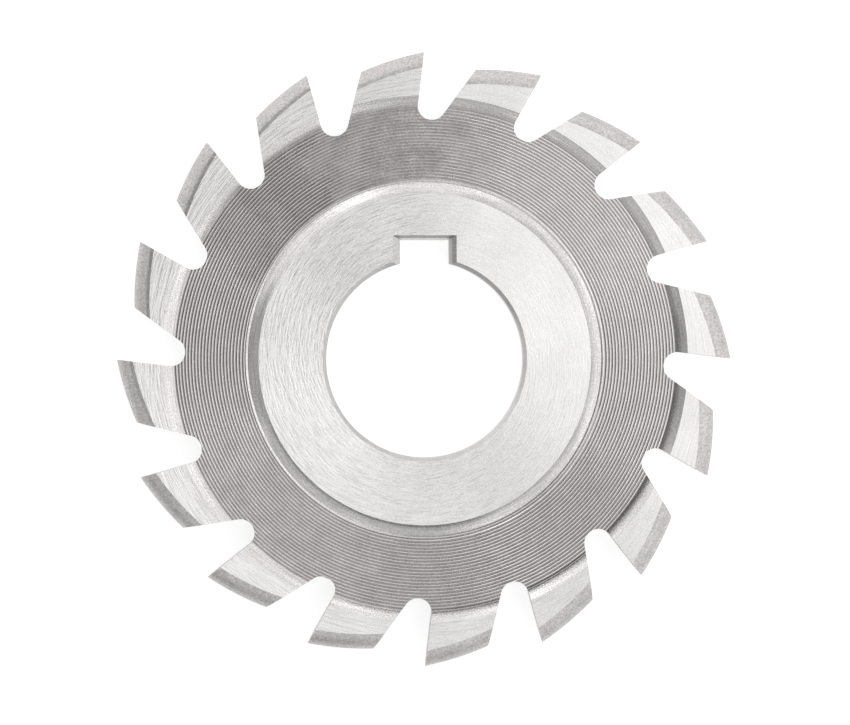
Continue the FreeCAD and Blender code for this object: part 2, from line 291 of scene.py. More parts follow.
class CutterShell(Shell):
    """The upper half of the cutter's surface, built outwards from the bore."""

    # Columns in each tooth's sector, round a gullet's root and round the bore
    COLUMNS = 22
    ROOT_COLUMNS = 10
    BORE_COLUMNS = 240
    # Rows across a turning mark, a tooth's flat side and its half-round profile
    MARK_ROWS = 4
    SIDE_ROWS = 4
    CROWN_ROWS = 10
    # The hub's first whole ring stands this far outside the keyway
    KEYWAY_MARGIN = 0.0006
    # Rounds that settle a spiral row, whose radius and turn depend on each other
    SPIRAL_ROUNDS = 3
    # Distances from the axis that differ by less are one
    SAME = 1e-9

    def __init__(self, sizes):
        super().__init__()
        self.sizes = sizes
        self.gullet = Gullet(sizes)
        self.side = sizes.convex_radius
        self.teeth = sizes.tooth_count

    def sector_row(self, radius_at, height_at):
        """One row of points for each tooth's sector, between the gullets on its two sides."""
        gullet = self.gullet
        rows = []
        for tooth in range(self.teeth):
            row = []
            for column in range(self.COLUMNS + 1):
                part = column / self.COLUMNS
                turn = gullet.root_turn + (tooth + part) * gullet.step
                for _ in range(self.SPIRAL_ROUNDS):
                    radius = radius_at(turn - gullet.root_turn)
                    start = gullet.face_turn(radius) + tooth * gullet.step
                    end = gullet.heel_turn(radius) + (tooth + 1) * gullet.step
                    turn = between(start, end, part)
                row.append(self.polar(radius, turn, height_at(radius, turn - gullet.root_turn)))
            rows.append(row)
        return rows

    def even_row(self, radius, height):
        return self.sector_row(lambda turn: radius, lambda radius, turn: height)

    def join_rows(self, inner, outer, finish):
        for near, far in zip(inner, outer):
            self.strip(near, far, finish)

    def bore_bevel(self, wide, narrow, throat):
        """The bevel round the bore between the keyway's sides: its upper edge, then its lower."""
        bore = self.sizes.bore_radius
        bevelled = bore + self.sizes.bore_chamfer
        upper_gap, lower_gap = acos(wide / bevelled), acos(narrow / bore)
        upper, lower = [], []
        for column in range(self.BORE_COLUMNS + 1):
            part = column / self.BORE_COLUMNS
            turn = between(pi - upper_gap, TURN + upper_gap, part)
            upper.append((turn, self.polar(bevelled, turn, self.side)))
            turn = between(pi - lower_gap, TURN + lower_gap, part)
            lower.append(self.polar(bore, turn, throat))
        self.strip(lower, [point for turn, point in upper], HONED)
        return upper, lower

    def bore_edge(self):
        """The bevel round the bore and the keyway's slopes, and the edge they leave on the hub.

        The keyway's slopes go deeper than the bore's bevel, whose lower edge is the throat.
        The slopes on the right and at the floor are filed, and the left one is ground.
        """
        sizes, side = self.sizes, self.side
        half, floor = sizes.keyway_width / 2, sizes.keyway_floor
        wide, floor_wide = half + sizes.keyway_side_chamfer, floor + sizes.keyway_floor_chamfer
        deep, throat = side - sizes.keyway_chamfer_depth, side - sizes.bore_chamfer
        climb = (throat - deep) / sizes.keyway_chamfer_depth
        narrow = half + sizes.keyway_side_chamfer * climb
        floor_narrow = floor + sizes.keyway_floor_chamfer * climb
        wall = sqrt(sizes.bore_radius ** 2 - half ** 2)

        edge, lower = self.bore_bevel(wide, narrow, throat)
        right_end, left_end = edge[-1][1], edge[0][1]
        right_wall, left_wall = self.point(half, wall, deep), self.point(-half, wall, deep)
        right_floor, left_floor = self.point(half, floor, deep), self.point(-half, floor, deep)
        right_corner = self.point(wide, floor_wide, side)
        left_corner = self.point(-wide, floor_wide, side)
        right_mid = self.point(narrow, floor_narrow, throat)
        left_mid = self.point(-narrow, floor_narrow, throat)
        self.face([right_end, right_corner, right_mid, lower[-1]], FILED)
        self.face([lower[-1], right_mid, right_floor, right_wall], HONED)
        self.face([right_corner, left_corner, left_mid, right_mid], FILED)
        self.face([right_mid, left_mid, left_floor, right_floor], HONED)
        self.face([left_corner, left_end, lower[0], left_mid], GROUND)
        self.face([left_mid, lower[0], left_wall, left_floor], GROUND)
        return edge + [(TURN + atan2(floor_wide, wide), right_corner),
                       (TURN + atan2(floor_wide, -wide), left_corner),
                       (TURN + edge[0][0], left_end)]

    def hub_face(self):
        """The ground face round the bore, out to the hub's edge."""
        sizes = self.sizes
        edge = self.bore_edge()
        first = sizes.keyway_floor + sizes.keyway_floor_chamfer + self.KEYWAY_MARGIN
        ring = self.even_row(first, self.side)
        closed = [point for row in ring for point in row[:-1]]
        turns = [self.gullet.root_turn + index * self.gullet.step / self.COLUMNS
                 for index in range(len(closed))]
        start = next(index for index, turn in enumerate(turns) if turn > edge[0][0])
        pairs = list(zip(turns, closed))
        ring_pairs = pairs[start:] + [(turn + TURN, point) for turn, point in pairs[:start + 1]]
        self.lace(edge, ring_pairs, GROUND)
        middle = self.even_row((first + sizes.hub_radius) / 2, self.side)
        outer = self.even_row(sizes.hub_radius, self.side)
        self.join_rows(ring, middle, GROUND)
        self.join_rows(middle, outer, GROUND)

    def web(self):
        """The web with its spiral of turning marks, and the steps on both sides of it."""
        sizes = self.sizes
        hub_steps, rim_steps = section_steps(sizes)
        rows = [self.even_row(*place) for place in hub_steps]
        for near, far in zip(rows, rows[1:]):
            self.join_rows(near, far, STEPPED)

        first, last = hub_steps[-1][0], rim_steps[0][0]
        floor = hub_steps[-1][1]
        pitch = sizes.groove_pitch
        count = self.MARK_ROWS * (ceil((last - first) / pitch) + 1)

        def height_at(radius, turn):
            phase = ((radius - first) / pitch - turn / TURN) % 1.0
            hollow = 1 - (2 * phase ** MARK_LEAN - 1) ** 2
            # The marks fade out over half a feed at both ends of the web
            fade = min(1.0, (radius - first) / pitch * 2, (last - radius) / pitch * 2)
            return floor - sizes.groove_depth * hollow * max(0.0, fade)

        def radius_of(row):
            def radius_at(turn):
                feed = row / self.MARK_ROWS + turn / TURN - 1
                return min(max(first + feed * pitch, first), last)
            return radius_at

        grooves = [self.sector_row(radius_of(row), height_at) for row in range(count + 1)]
        for near, far in zip(grooves, grooves[1:]):
            self.join_rows(near, far, TURNED)
        self.root_fans(grooves, height_at)

        rows = [self.even_row(*place) for place in rim_steps]
        for near, far in zip(rows, rows[1:]):
            self.join_rows(near, far, STEPPED)
        return rows[-1]

    def distance(self, point):
        return hypot(*self.points[point][:2])

    def root_fans(self, grooves, height_at):
        """The slivers of web between the last whole row and the round of each gullet's root."""
        bottom = self.gullet.bottom + self.SAME
        for tooth in range(self.teeth):
            faces = [row[tooth][0] for row in grooves]
            heels = [row[tooth - 1][-1] for row in grooves]
            inside = [point for point in faces if self.distance(point) <= bottom]
            face = next(point for point in faces if self.distance(point) > bottom)
            heel = next(point for point in heels if self.distance(point) > bottom)
            arc = self.root_arc(tooth, self.distance(heel), self.distance(face), height_at)
            self.face([inside[-1], heel] + arc + [face], TURNED)

    def root_arc(self, tooth, heel_radius, face_radius, height_at):
        """Points round the bottom of a gullet's root, from the heel's side to the face's."""
        gullet = self.gullet
        centre = Matrix.Rotation(tooth * gullet.step, 2) @ gullet.root
        inward = gullet.root_turn + tooth * gullet.step + pi

        def swing(radius):
            across = radius * sin(gullet.arc_turn(radius))
            return atan2(across, gullet.root_distance - radius * cos(gullet.arc_turn(radius)))

        start, end = swing(heel_radius), -swing(face_radius)
        points = []
        for column in range(1, self.ROOT_COLUMNS):
            turn = inward + between(start, end, column / self.ROOT_COLUMNS)
            x = centre.x + gullet.radius * cos(turn)
            y = centre.y + gullet.radius * sin(turn)
            seam_turn = (atan2(y, x) - gullet.root_turn) % TURN
            points.append(self.point(x, y, height_at(hypot(x, y), seam_turn)))
        return points

    def tooth(self, index, rim_row):
        """One tooth's ground side and relieved half-round profile, down to mid-width."""
        sizes, gullet = self.sizes, self.gullet
        tip = gullet.tip
        relief = sizes.relief_angle
        centre = Vector((tip * (1 - cos(relief)), -tip * sin(relief)))
        turned = Matrix.Rotation(index * gullet.step, 2)
        rows = []
        for row in range(self.CROWN_ROWS + 1):
            rise = pi / 2 * (1 - row / self.CROWN_ROWS)
            radius = tip + self.side * (cos(rise) - 1)
            start = self.face_place(radius, centre) - centre
            end = self.heel_place(radius, centre) - centre
            places = []
            for column in range(self.COLUMNS + 1):
                turn = between(atan2(start.y, start.x), atan2(end.y, end.x), column / self.COLUMNS)
                places.append(turned @ (centre + radius * Vector((cos(turn), sin(turn)))))
            rows.append([self.point(place.x, place.y, self.side * sin(rise)) for place in places])
        for near, far in zip(rows, rows[1:]):
            self.strip(near, far, RELIEVED)
        self.tooth_side(rim_row, rows[0])

    def face_place(self, radius, centre):
        """Where the cutting face meets the relief circle of this radius."""
        start = Vector((self.gullet.tip, 0))
        along = Vector((-cos(self.gullet.rake), sin(self.gullet.rake)))
        return start + along * reach(start, along, radius, near=True, centre=centre)

    def heel_place(self, radius, centre):
        """Where the next gullet's far wall meets the relief circle of this radius."""
        turned = Matrix.Rotation(self.gullet.step, 2)
        start = turned @ self.gullet.heel_end
        along = turned @ Vector((cos(self.gullet.back), -sin(self.gullet.back)))
        return start + along * reach(start, along, radius, centre=centre)

    def tooth_side(self, rim_row, crown_row):
        """The flat ground side between the rim's inner edge and the relieved profile."""
        near = rim_row
        for row in range(1, self.SIDE_ROWS + 1):
            part = row / self.SIDE_ROWS
            far = []
            for inner, outer in zip(rim_row, crown_row):
                start, end = Vector(self.points[inner]), Vector(self.points[outer])
                far.append(self.point(*start.lerp(end, part)))
            self.strip(near, far, GROUND)
            near = far

    def build(self):
        self.hub_face()
        rim_rows = self.web()
        for index, rim_row in enumerate(rim_rows):
            self.tooth(index, rim_row)


def close_cutter(sizes):
    """The whole surface: the upper half, its mirror image below, and the walls between.

    The walls of the bore and the keyway are honed, and those of the gullets are milled.
    """
    shell = CutterShell(sizes)
    shell.build()
    edges = shell.open_edges()
    upper = list(zip(shell.faces, shell.finishes))
    below = {}
    for index, (x, y, z) in list(enumerate(shell.points)):
        below[index] = shell.point(x, y, -z)
    for face, finish in upper:
        shell.face([below[corner] for corner in reversed(face)], finish)
    for start, end in edges:
        if below[start] != start or below[end] != end:
            inside = min(shell.distance(start), shell.distance(end)) < sizes.hub_radius
            shell.face([end, start, below[start], below[end]], HONED if inside else MILLED)
    return shell


# The least angle between two faces that makes the edge between them crisp
CRISP_FOLD = radians(22)


def sharpen_edges(mesh):
    """Crisp edges at folds, and where a tooth's flat side meets its half-round profile."""
    mesh.shade_smooth()
    mesh.set_sharp_from_angle(angle=CRISP_FOLD)
    finish_of = {}
    for face in mesh.polygons:
        for key in face.edge_keys:
            finish_of.setdefault(key, set()).add(face.material_index)
    sharp = mesh.attributes["sharp_edge"].data
    for edge in mesh.edges:
        if finish_of[edge.key] == {GROUND, RELIEVED}:
            sharp[edge.index].value = True


def make_cutter_mesh(sizes):
    shell = close_cutter(sizes)
    lift = sizes.convex_radius
    mesh = bpy.data.meshes.new("cutter_steel")
    mesh.from_pydata([(x, y, z + lift) for x, y, z in shell.points], [], shell.faces)
    mesh.polygons.foreach_set("material_index", shell.finishes)
    sharpen_edges(mesh)
    mesh.validate()
    return mesh


class Nodes:
    """A small hand for laying out a node tree."""

    def __init__(self, tree):
        self.tree = tree
        self.tree.nodes.clear()

    def add(self, kind, inputs=None, **settings):
        node = self.tree.nodes.new(kind)
        for name, value in settings.items():
            setattr(node, name, value)
        for key, value in (inputs or {}).items():
            self.feed(node.inputs[key], value)
        return node

    def feed(self, socket, value):
        if isinstance(value, bpy.types.NodeSocket):
            self.tree.links.new(value, socket)
        else:
            socket.default_value = value

    def math(self, operation, *values):
        node = self.tree.nodes.new("ShaderNodeMath")
        node.operation = operation
        for socket, value in zip(node.inputs, values):
            self.feed(socket, value)
        return node.outputs[0]

    def mix_value(self, amount, low, high):
        """A value between low and high."""
        node = self.tree.nodes.new("ShaderNodeMapRange")
        for name, value in (("Value", amount), ("To Min", low), ("To Max", high)):
            self.feed(node.inputs[name], value)
        return node.outputs[0]

    def smooth_step(self, value, none, full):
        """A soft step from 0, where the value is none, to 1, where it is full."""
        return self.add("ShaderNodeMapRange", {
            "Value": value, "From Min": none, "From Max": full},
            interpolation_type="SMOOTHSTEP").outputs[0]

    def tint(self, amount, base, other, blend="MULTIPLY"):
        """A colour, changed by another where the amount is high."""
        node = self.tree.nodes.new("ShaderNodeMix")
        node.data_type = "RGBA"
        node.blend_type = blend
        for index, value in ((0, amount), (6, base), (7, other)):
            self.feed(node.inputs[index], value)
        return node.outputs[2]


def new_group(name, inputs, outputs):
    """An empty node group with named sockets; each input is (name, kind, default)."""
    group = bpy.data.node_groups.new(name, "ShaderNodeTree")
    nodes = Nodes(group)
    for title, kind, default in inputs:
        socket = group.interface.new_socket(title, in_out="INPUT", socket_type=kind)
        if default is not None:
            socket.default_value = default
    for title, kind in outputs:
        group.interface.new_socket(title, in_out="OUTPUT", socket_type=kind)
    return nodes, nodes.add("NodeGroupInput").outputs, nodes.add("NodeGroupOutput").inputs


FLOAT = "NodeSocketFloat"
VECTOR = "NodeSocketVector"

# The finishes are laid out in millimetres
MM = 1000.0
NATURAL_BASE = 2.718282
# Distances from the axis, in millimetres, at which the runs of the lines are true
GROUND_MIDDLE = 12.0
WEB_MIDDLE = 20.0


def polar_place(nodes, place):
    """Distance from the bore's axis in millimetres, and the turn around it."""
    split = nodes.add("ShaderNodeSeparateXYZ", {0: place}).outputs
    x = nodes.math("MULTIPLY", split[0], MM)
    y = nodes.math("MULTIPLY", split[1], MM)
    square = nodes.math("ADD", nodes.math("MULTIPLY", x, x), nodes.math("MULTIPLY", y, y))
    return nodes.math("SQRT", square), nodes.math("ARCTAN2", y, x)


def ring_noise(nodes, turn, reach_out, shift, detail, roughness):
    """Noise along a ring of this reach, which changes with the shift."""
    vector = nodes.add("ShaderNodeCombineXYZ", {
        0: nodes.math("MULTIPLY", nodes.math("COSINE", turn), reach_out),
        1: nodes.math("MULTIPLY", nodes.math("SINE", turn), reach_out),
        2: shift}).outputs[0]
    return nodes.add("ShaderNodeTexNoise", {
        "Vector": vector, "Scale": 1.0, "Detail": detail, "Roughness": roughness}).outputs["Fac"]


def grinding_lines_group():
    """Fine lines that cross the face at a slant to the direction round the bore."""
    nodes, given, out = new_group("grinding_lines", [
        ("Place", VECTOR, None), ("Slant", FLOAT, 0.2), ("Spacing", FLOAT, 0.1),
        ("Run", FLOAT, 0.7), ("Seed", FLOAT, 0.0)], [("Lines", FLOAT)])
    radius, turn = polar_place(nodes, given["Place"])
    steep = nodes.math("DIVIDE", nodes.math("LOGARITHM", radius, NATURAL_BASE),
                       nodes.math("TANGENT", given["Slant"]))
    swept = nodes.math("SUBTRACT", turn, steep)
    across = nodes.math("MULTIPLY", nodes.math("SINE", given["Slant"]), GROUND_MIDDLE)
    reach_out = nodes.math("DIVIDE", across, given["Spacing"])
    along = nodes.math("ADD", nodes.math("DIVIDE", radius, given["Run"]), given["Seed"])
    nodes.feed(out["Lines"], ring_noise(nodes, swept, reach_out, along, 3.0, 0.6))


def turning_lines_group():
    """Fine rings round the bore, changing slowly along their way."""
    nodes, given, out = new_group("turning_lines", [
        ("Place", VECTOR, None), ("Spacing", FLOAT, 0.1), ("Run", FLOAT, 3.0),
        ("Seed", FLOAT, 0.0)], [("Lines", FLOAT)])
    radius, turn = polar_place(nodes, given["Place"])
    reach_out = nodes.math("DIVIDE", WEB_MIDDLE, given["Run"])
    across = nodes.math("ADD", nodes.math("DIVIDE", radius, given["Spacing"]), given["Seed"])
    nodes.feed(out["Lines"], ring_noise(nodes, turn, reach_out, across, 2.0, 0.55))


def feed_marks_group():
    """How deep in a mark of the web's turning spiral a place lies, from 0 to 1."""
    nodes, given, out = new_group("feed_marks", [
        ("Place", VECTOR, None), ("Start", FLOAT, 14.5), ("Feed", FLOAT, 0.26)],
        [("Hollow", FLOAT)])
    radius, turn = polar_place(nodes, given["Place"])
    marks = nodes.math("DIVIDE", nodes.math("SUBTRACT", radius, given["Start"]), given["Feed"])
    phase = nodes.math("FRACT", nodes.math("SUBTRACT", marks, nodes.math("DIVIDE", turn, TURN)))
    across = nodes.math("MULTIPLY_ADD", nodes.math("POWER", phase, MARK_LEAN), 2.0, -1.0)
    nodes.feed(out["Hollow"], nodes.math("SUBTRACT", 1.0, nodes.math("MULTIPLY", across, across)))


def facing_side_group():
    """How far a place lies on one side of the bore's axis, from 0 opposite to 1 on that side."""
    nodes, given, out = new_group("facing_side", [
        ("Place", VECTOR, None), ("Direction", FLOAT, 0.4)], [("Side", FLOAT)])
    turn = polar_place(nodes, given["Place"])[1]
    towards = nodes.math("COSINE", nodes.math("SUBTRACT", turn, given["Direction"]))
    nodes.feed(out["Side"], nodes.math("MULTIPLY_ADD", towards, 0.5, 0.5))


# Mask for patches on one side of the bore: the web's painted shade and its matte patch
def side_patch_group():
    """A wide patch with a cloudy edge on one side of the bore, from 0 beside it to 1 on it.

    The clouds are about 3 mm across, and the edge fades over 0.3 radians on both its sides.
    """
    cloud_scale, fade = 350.0, 0.3
    nodes, given, out = new_group("side_patch", [
        ("Place", VECTOR, None), ("Direction", FLOAT, 1.9), ("Half width", FLOAT, 0.7)],
        [("Patch", FLOAT)])
    turn = polar_place(nodes, given["Place"])[1]
    away = nodes.math("ABSOLUTE", nodes.math("SUBTRACT", turn, given["Direction"]))
    noise = nodes.add("ShaderNodeTexNoise", {"Vector": given["Place"], "Scale": cloud_scale,
                                             "Detail": 4.0, "Roughness": 0.6})
    cloudy = nodes.math("ADD", nodes.math("SUBTRACT", noise.outputs["Fac"], 0.5), away)
    outside = nodes.math("SUBTRACT", cloudy, given["Half width"])
    nodes.feed(out["Patch"], nodes.smooth_step(outside, fade, -fade))


def bright_specks_group():
    """Sparse small specks, from 0 beside them to 1 on them."""
    nodes, given, out = new_group("bright_specks", [
        ("Place", VECTOR, None), ("Distance apart", FLOAT, 0.5), ("Size", FLOAT, 0.12),
        ("Share", FLOAT, 0.3)], [("Specks", FLOAT)])
    scale = nodes.math("DIVIDE", MM, given["Distance apart"])
    cells = nodes.add("ShaderNodeTexVoronoi", {"Vector": given["Place"], "Scale": scale})
    near = nodes.math("LESS_THAN", cells.outputs["Distance"], given["Size"])
    pick = nodes.add("ShaderNodeSeparateColor", {0: cells.outputs["Color"]}).outputs[0]
    kept = nodes.math("LESS_THAN", pick, given["Share"])
    nodes.feed(out["Specks"], nodes.math("MULTIPLY", near, kept))


def steel_grain_group():
    """Small matte specks and wider soft clouds in the steel."""
    nodes, given, out = new_group("steel_grain", [
        ("Place", VECTOR, None), ("Speck size", FLOAT, 0.12), ("Cloud size", FLOAT, 2.0)],
        [("Specks", FLOAT), ("Clouds", FLOAT)])
    scaled = nodes.add("ShaderNodeVectorMath", {0: given["Place"], 1: (MM, MM, MM)},
                       operation="MULTIPLY").outputs[0]
    for title, size, detail in (("Specks", "Speck size", 3.0), ("Clouds", "Cloud size", 4.0)):
        scale = nodes.math("DIVIDE", 1.0, given[size])
        noise = nodes.add("ShaderNodeTexNoise", {"Vector": scaled, "Scale": scale,
                                                 "Detail": detail, "Roughness": 0.6})
        nodes.feed(out[title], noise.outputs["Fac"])


def steel_material(name, base, roughness):
    """A steel with its Principled BSDF and the cutter's own coordinates."""
    material = bpy.data.materials.new(name)
    material.use_nodes = True
    nodes = Nodes(material.node_tree)
    shader = nodes.add("ShaderNodeBsdfPrincipled", {
        "Base Color": (*base, 1.0), "Metallic": 1.0, "Roughness": roughness})
    nodes.add("ShaderNodeOutputMaterial", {"Surface": shader.outputs[0]})
    place = nodes.add("ShaderNodeTexCoord").outputs["Object"]
    return material, nodes, shader.inputs, place


def stretch_gloss(nodes, shader, amount):
    """Lines round the bore spread the reflections outwards and inwards."""
    quarter_turn = 0.25
    shader["Anisotropic"].default_value = amount
    shader["Anisotropic Rotation"].default_value = quarter_turn
    nodes.feed(shader["Tangent"], nodes.add("ShaderNodeTangent", direction_type="RADIAL",
                                            axis="Z").outputs[0])


def group_node(nodes, name, place, **values):
    """The outputs of a placed group, with its own values for the inputs named."""
    node = nodes.add("ShaderNodeGroup", node_tree=bpy.data.node_groups[name])
    nodes.feed(node.inputs["Place"], place)
    for title, value in values.items():
        node.inputs[title.replace("_", " ")].default_value = value
    return node.outputs


def around(nodes, value, spread):
    """A factor about 1 from a 0 to 1 value: 1 - spread to 1 + spread."""
    return nodes.math("MULTIPLY_ADD", nodes.math("MULTIPLY_ADD", value, 2.0, -1.0), spread, 1.0)


def shaded(nodes, base, *factors):
    """The base colour times the factors."""
    total = factors[0]
    for factor in factors[1:]:
        total = nodes.math("MULTIPLY", total, factor)
    grey = nodes.add("ShaderNodeCombineColor", {0: total, 1: total, 2: total}).outputs[0]
    return nodes.tint(1.0, (*base, 1.0), grey)


def speckled(nodes, place, base, amount, **values):
    """The base colour with sparse bright specks, as strong as the amount."""
    specks = group_node(nodes, "bright_specks", place, **values)["Specks"]
    bright_metal = (0.9, 0.89, 0.88, 1.0)
    return nodes.tint(nodes.math("MULTIPLY", specks, amount), base, bright_metal, "MIX")


def bump(nodes, shader, height, **values):
    """Small unevenness, given as a height over the surface."""
    node = nodes.add("ShaderNodeBump", {"Height": height, **values})
    nodes.feed(shader["Normal"], node.outputs[0])


def ground_steel(colours):
    """Bright ground steel with slanting lines, calm on the right and bold at the upper left."""
    material, nodes, shader, place = steel_material("ground_steel", colours.ground, 0.3)
    slanted = group_node(nodes, "grinding_lines", place, Slant=-0.14, Spacing=0.17, Run=0.24)["Lines"]
    level = group_node(nodes, "turning_lines", place, Spacing=0.16, Run=2.0, Seed=4.0)["Lines"]
    slanted_share = 0.55
    lines = nodes.math("ADD", nodes.math("MULTIPLY", slanted, slanted_share),
                       nodes.math("MULTIPLY", level, 1 - slanted_share))
    clouds = group_node(nodes, "steel_grain", place, Cloud_size=4.0)["Clouds"]
    right = group_node(nodes, "facing_side", place, Direction=0.4)["Side"]
    upper_left = group_node(nodes, "facing_side", place, Direction=2.0)["Side"]
    calm = nodes.mix_value(nodes.math("POWER", right, 1.5), 1.0, 0.35)
    bold = nodes.mix_value(nodes.math("POWER", upper_left, 8.0), 1.0, 1.3)
    strength = nodes.math("MULTIPLY", calm, bold)
    nodes.feed(shader["Base Color"], shaded(
        nodes, colours.ground, around(nodes, lines, nodes.math("MULTIPLY", strength, 0.5)),
        around(nodes, clouds, 0.12)))
    nodes.feed(shader["Roughness"], nodes.mix_value(lines, 0.1, 0.44))
    stretch_gloss(nodes, shader, 0.7)
    bump(nodes, shader, nodes.math("MULTIPLY", lines, strength), Distance=0.00005)
    return material


def turned_steel(colours, start, feed):
    """The web, with painted shade in the hollow of each turning mark and a painted highlight on
    its crests, with fine rings and bright specks.

    Painted shade darkens it over the bore and towards the upper left, and a little at the
    lower left, which is a little matte too. Over the bore it also has a matte, mottled patch,
    where the painted shade and highlight of the marks are weak.
    """
    material, nodes, shader, place = steel_material("turned_steel", colours.turned, 0.22)
    rings = group_node(nodes, "turning_lines", place, Spacing=0.06, Run=2.0)["Lines"]
    grain = group_node(nodes, "steel_grain", place, Speck_size=0.15, Cloud_size=1.6)
    hollow = group_node(nodes, "feed_marks", place, Start=start * MM, Feed=feed * MM)["Hollow"]
    # Painted shade: darker over the bore and towards the upper left
    grey = group_node(nodes, "side_patch", place, Direction=2.0, Half_width=0.54)["Patch"]
    # A matte, mottled patch over the bore, where the painted shade and highlight of the marks are
    # weak
    matte_patch = group_node(nodes, "side_patch", place, Direction=1.7, Half_width=0.25)["Patch"]
    # Painted shade: a little darker at the lower left, which is a little matte too
    lower = group_node(nodes, "side_patch", place, Direction=-2.0, Half_width=0.7)["Patch"]
    matte = nodes.math("MAXIMUM", matte_patch, nodes.math("MULTIPLY", lower, 0.2))
    # Painted highlight on the crests of the turning marks, and painted shade in their hollows
    painted_crest_highlight, bottom = nodes.mix_value(matte, 1.42, 1.03), nodes.mix_value(matte, 0.55, 0.86)
    # The web's colour, with the painted shade and highlight of the marks and the painted shade of the
    # patches
    plain = shaded(nodes, colours.turned, around(nodes, rings, 0.2),
                   around(nodes, grain["Specks"], nodes.mix_value(matte, 0.28, 0.8)),
                   around(nodes, grain["Clouds"], nodes.mix_value(matte, 0.15, 0.55)),
                   nodes.mix_value(hollow, painted_crest_highlight, bottom), nodes.mix_value(grey, 1.0, 0.79),
                   nodes.mix_value(lower, 1.0, 0.9))
    nodes.feed(shader["Base Color"], speckled(nodes, place, plain, 0.6, Distance_apart=0.4,
                                              Size=0.12, Share=0.14))
    nodes.feed(shader["Roughness"], nodes.mix_value(
        grain["Specks"], nodes.mix_value(matte, 0.14, 0.42), nodes.mix_value(matte, 0.32, 0.7)))
    return material


def stepped_steel(colours):
    """The sloped steps, finer turned and a little matte."""
    material, nodes, shader, place = steel_material("stepped_steel", colours.stepped, 0.35)
    rings = group_node(nodes, "turning_lines", place, Spacing=0.1, Run=4.0, Seed=3.0)["Lines"]
    grain = group_node(nodes, "steel_grain", place, Speck_size=0.12, Cloud_size=2.5)
    plain = shaded(nodes, colours.stepped, around(nodes, rings, 0.3),
                   around(nodes, grain["Specks"], 0.45), around(nodes, grain["Clouds"], 0.15))
    nodes.feed(shader["Base Color"], speckled(nodes, place, plain, 0.35, Distance_apart=0.35,
                                              Size=0.13, Share=0.12))
    nodes.feed(shader["Roughness"], nodes.mix_value(grain["Clouds"], 0.14, 0.28))
    bump(nodes, shader, grain["Specks"], Distance=0.000008)
    return material


def relieved_steel(colours, half_width):
    """The relieved profile, matte and finely speckled.

    Painted shade darkens a narrow band along its inner edge at the upper left.
    """
    material, nodes, shader, place = steel_material("relieved_steel", colours.relieved, 0.6)
    grain = group_node(nodes, "steel_grain", place, Speck_size=0.16, Cloud_size=1.5)
    height = nodes.add("ShaderNodeSeparateXYZ", {0: place}).outputs[2]
    from_middle = nodes.math("ABSOLUTE", nodes.math("SUBTRACT", height, half_width))
    # Painted shade: a darker band along the inner edge, where the profile meets the flat side, on the
    # upper left only
    faint, dark = 0.955 * half_width, 0.99 * half_width
    edge = nodes.smooth_step(from_middle, faint, dark)
    upper_left = group_node(nodes, "facing_side", place, Direction=2.7)["Side"]
    painted_shade_line = nodes.math("MULTIPLY", edge, nodes.math("POWER", upper_left, 5.0))
    nodes.feed(shader["Base Color"], shaded(
        nodes, colours.relieved, around(nodes, grain["Specks"], 0.6),
        around(nodes, grain["Clouds"], 0.15), nodes.mix_value(painted_shade_line, 1.0, 0.58)))
    nodes.feed(shader["Roughness"], nodes.mix_value(grain["Specks"], 0.48, 0.7))
    bump(nodes, shader, grain["Specks"], Strength=0.5, Distance=0.00002)
    return material


def plain_cut_steel(name, base, roughness, speckle=0.2):
    """Walls and slopes cut through the disc, finely speckled."""
    material, nodes, shader, place = steel_material(name, base, roughness)
    grain = group_node(nodes, "steel_grain", place, Speck_size=0.15, Cloud_size=1.2)
    nodes.feed(shader["Base Color"], shaded(
        nodes, base, around(nodes, grain["Specks"], speckle),
        around(nodes, grain["Clouds"], 0.1)))
    nodes.feed(shader["Roughness"], nodes.mix_value(grain["Clouds"], roughness - 0.05,
                                                    roughness + 0.1))
    return material


def cutter_finishes(sizes, colours):
    """The materials of the cutter's slots, from GROUND to FILED."""
    for make_group in (grinding_lines_group, turning_lines_group, feed_marks_group,
                       bright_specks_group, facing_side_group, side_patch_group,
                       steel_grain_group):
        make_group()
    hub_foot = section_steps(sizes)[0][-1][0]
    start = hub_foot - Gullet(sizes).root_turn / TURN * sizes.groove_pitch
    return (ground_steel(colours), turned_steel(colours, start, sizes.groove_pitch),
            stepped_steel(colours), relieved_steel(colours, sizes.convex_radius),
            plain_cut_steel("milled_steel", colours.milled, roughness=0.4),
            plain_cut_steel("honed_steel", colours.honed, roughness=0.35),
            plain_cut_steel("filed_steel", colours.filed, roughness=0.45, speckle=0.5))


class CUTTER_OT_make_cutter(bpy.types.Operator):
    """Make the cutter's steel with its finishes"""
    bl_idname = "cutter.make_cutter"
    bl_label = "Convex cutter"

    def execute(self, context):
        sizes = context.scene.cutter_sizes
        mesh = make_cutter_mesh(sizes)
        for material in cutter_finishes(sizes, context.scene.cutter_colours):
            mesh.materials.append(material)
        cutter = bpy.data.objects.new("cutter_steel", mesh)
        context.scene.collection.objects.link(cutter)
        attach(cutter, "root")
        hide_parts(CAD_NODE)
        return {"FINISHED"}


# The floor's half width and its drop below the cutter, in metres
FLOOR_HALF = 3.0
FLOOR_DROP = 0.00002
# Its own grey, and the glow that lifts it to white for the camera and to grey in the steel
FLOOR_GREY = 0.6
FLOOR_GLOW_SEEN = 0.72
FLOOR_GLOW_REFLECTED = 0.5


